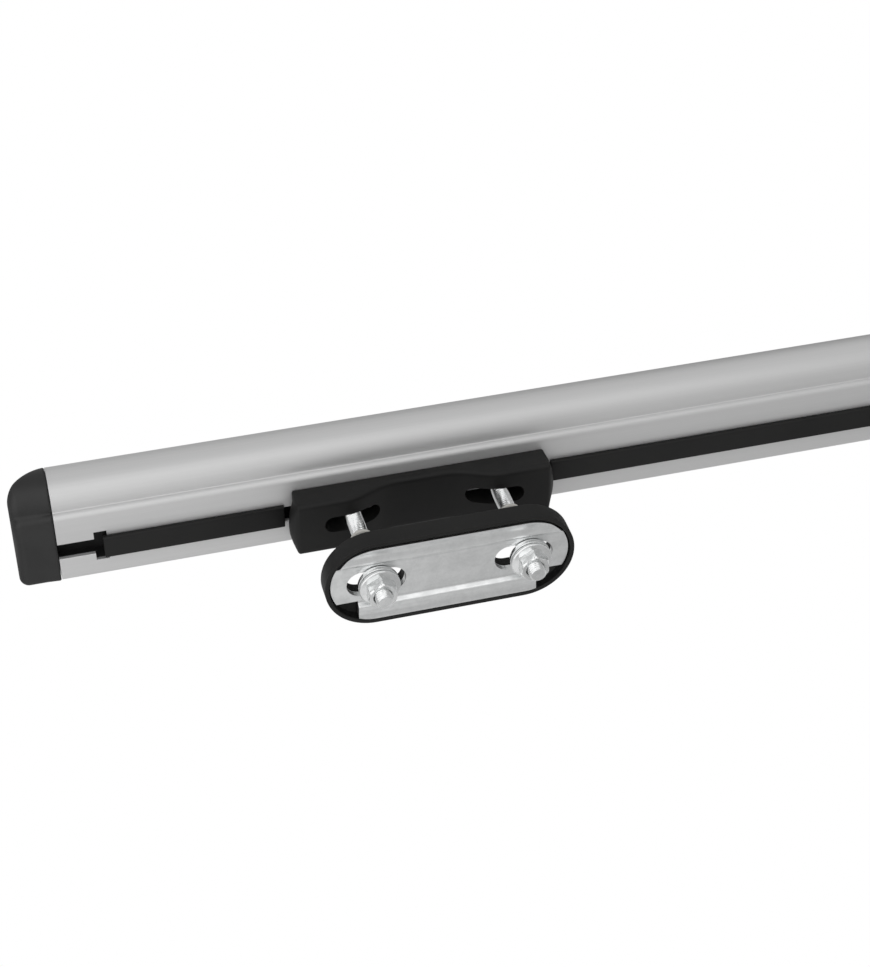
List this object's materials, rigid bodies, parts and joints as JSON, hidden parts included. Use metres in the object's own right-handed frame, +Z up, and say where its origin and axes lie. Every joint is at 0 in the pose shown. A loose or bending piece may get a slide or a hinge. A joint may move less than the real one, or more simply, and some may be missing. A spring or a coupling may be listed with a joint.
{
  "type": "bed cargo bar",
  "caption": "Aluminium cross bar with a T-slot underside, plastic end caps and bolted clamp feet whose rubber saddles and booted plates grip bed rails.",
  "frame": {"origin": "half way between the two feet, on the plane of the flats in the saddles' arches, on the centre line of the bar's T-slot", "axes": "+X along the bar, +Y from the bar's nose to its back, +Z up from the rails into the bar"},
  "size_m": [1.3386, 0.0602, 0.1019],
  "materials": {
    "anodised_aluminium": "satin anodised, fine lines along the extrusion",
    "black_plastic": "satin moulded",
    "black_rubber": "matte moulded",
    "zinc_steel": "bright zinc plate, mottled",
    "nylon": "natural nylon"
  },
  "bodies": {
    "bar": {"bar_profile": "anodised_aluminium", "end_cap_left": "black_plastic", "end_cap_right": "black_plastic", "slot_strip_left": "black_rubber", "slot_strip_middle": "black_rubber", "slot_strip_right": "black_rubber"},
    "saddle_left": {"saddle_pad_left": "black_rubber"},
    "clamp_left": {"plate_boot_left": "black_rubber", "clamp_plate_left": "zinc_steel"},
    "bolt_outer_left": {"t_bolt_outer_left": "zinc_steel", "retaining_washer_outer_left": "nylon"},
    "washer_outer_left_body": {"washer_outer_left": "zinc_steel"},
    "nut_outer_left": {"flange_nut_outer_left": "zinc_steel"},
    "bolt_inner_left": {"t_bolt_inner_left": "zinc_steel", "retaining_washer_inner_left": "nylon"},
    "washer_inner_left_body": {"washer_inner_left": "zinc_steel"},
    "nut_inner_left": {"flange_nut_inner_left": "zinc_steel"},
    "saddle_right": {"saddle_pad_right": "black_rubber"},
    "clamp_right": {"plate_boot_right": "black_rubber", "clamp_plate_right": "zinc_steel"},
    "bolt_outer_right": {"t_bolt_outer_right": "zinc_steel", "retaining_washer_outer_right": "nylon"},
    "washer_outer_right_body": {"washer_outer_right": "zinc_steel"},
    "nut_outer_right": {"flange_nut_outer_right": "zinc_steel"},
    "bolt_inner_right": {"t_bolt_inner_right": "zinc_steel", "retaining_washer_inner_right": "nylon"},
    "washer_inner_right_body": {"washer_inner_right": "zinc_steel"},
    "nut_inner_right": {"flange_nut_inner_right": "zinc_steel"}
  },
  "joints": [
    {"name": "foot_slide_left", "type": "slide", "parent": "bar", "child": "saddle_left", "axis": [1, 0, 0], "range_m": [-0.0035, 0.0035]},
    {"name": "clamp_slide_left", "type": "slide", "parent": "saddle_left", "child": "clamp_left", "axis": [0, 0, 1], "range_m": [0, 0.025]},
    {"name": "bolt_slide_outer_left", "type": "slide", "parent": "saddle_left", "child": "bolt_outer_left", "axis": [1, 0, 0], "range_m": [-0.0075, 0.0075]},
    {"name": "washer_slide_outer_left", "type": "slide", "parent": "bolt_outer_left", "child": "washer_outer_left_body", "axis": [0, 0, 1], "range_m": [0, 0.025]},
    {"name": "nut_spin_outer_left", "type": "hinge", "parent": "washer_outer_left_body", "child": "nut_outer_left", "pos_m": [-0.512, 0, -0.0587], "axis": [0, 0, 1], "range_deg": [0, 7201]},
    {"name": "bolt_slide_inner_left", "type": "slide", "parent": "saddle_left", "child": "bolt_inner_left", "axis": [1, 0, 0], "range_m": [-0.01, 0.005]},
    {"name": "washer_slide_inner_left", "type": "slide", "parent": "bolt_inner_left", "child": "washer_inner_left_body", "axis": [0, 0, 1], "range_m": [0, 0.025]},
    {"name": "nut_spin_inner_left", "type": "hinge", "parent": "washer_inner_left_body", "child": "nut_inner_left", "pos_m": [-0.4399, 0, -0.0587], "axis": [0, 0, 1], "range_deg": [0, 7201]},
    {"name": "foot_slide_right", "type": "slide", "parent": "bar", "child": "saddle_right", "axis": [1, 0, 0], "range_m": [-0.0035, 0.0035]},
    {"name": "clamp_slide_right", "type": "slide", "parent": "saddle_right", "child": "clamp_right", "axis": [0, 0, 1], "range_m": [0, 0.025]},
    {"name": "bolt_slide_outer_right", "type": "slide", "parent": "saddle_right", "child": "bolt_outer_right", "axis": [1, 0, 0], "range_m": [-0.0075, 0.0075]},
    {"name": "washer_slide_outer_right", "type": "slide", "parent": "bolt_outer_right", "child": "washer_outer_right_body", "axis": [0, 0, 1], "range_m": [0, 0.025]},
    {"name": "nut_spin_outer_right", "type": "hinge", "parent": "washer_outer_right_body", "child": "nut_outer_right", "pos_m": [0.512, 0, -0.0587], "axis": [0, 0, 1], "range_deg": [0, 7201]},
    {"name": "bolt_slide_inner_right", "type": "slide", "parent": "saddle_right", "child": "bolt_inner_right", "axis": [1, 0, 0], "range_m": [-0.005, 0.01]},
    {"name": "washer_slide_inner_right", "type": "slide", "parent": "bolt_inner_right", "child": "washer_inner_right_body", "axis": [0, 0, 1], "range_m": [0, 0.025]},
    {"name": "nut_spin_inner_right", "type": "hinge", "parent": "washer_inner_right_body", "child": "nut_inner_right", "pos_m": [0.4399, 0, -0.0587], "axis": [0, 0, 1], "range_deg": [0, 7201]}
  ],
  "couplings": [
    {"joint": "washer_slide_outer_left", "follows": "clamp_slide_left", "ratio": 1},
    {"joint": "nut_spin_outer_left", "follows": "clamp_slide_left", "rad_per_m": 5026.5},
    {"joint": "washer_slide_inner_left", "follows": "clamp_slide_left", "ratio": 1},
    {"joint": "nut_spin_inner_left", "follows": "clamp_slide_left", "rad_per_m": 5026.5},
    {"joint": "washer_slide_outer_right", "follows": "clamp_slide_right", "ratio": 1},
    {"joint": "nut_spin_outer_right", "follows": "clamp_slide_right", "rad_per_m": 5026.5},
    {"joint": "washer_slide_inner_right", "follows": "clamp_slide_right", "ratio": 1},
    {"joint": "nut_spin_inner_right", "follows": "clamp_slide_right", "rad_per_m": 5026.5}
  ]
}
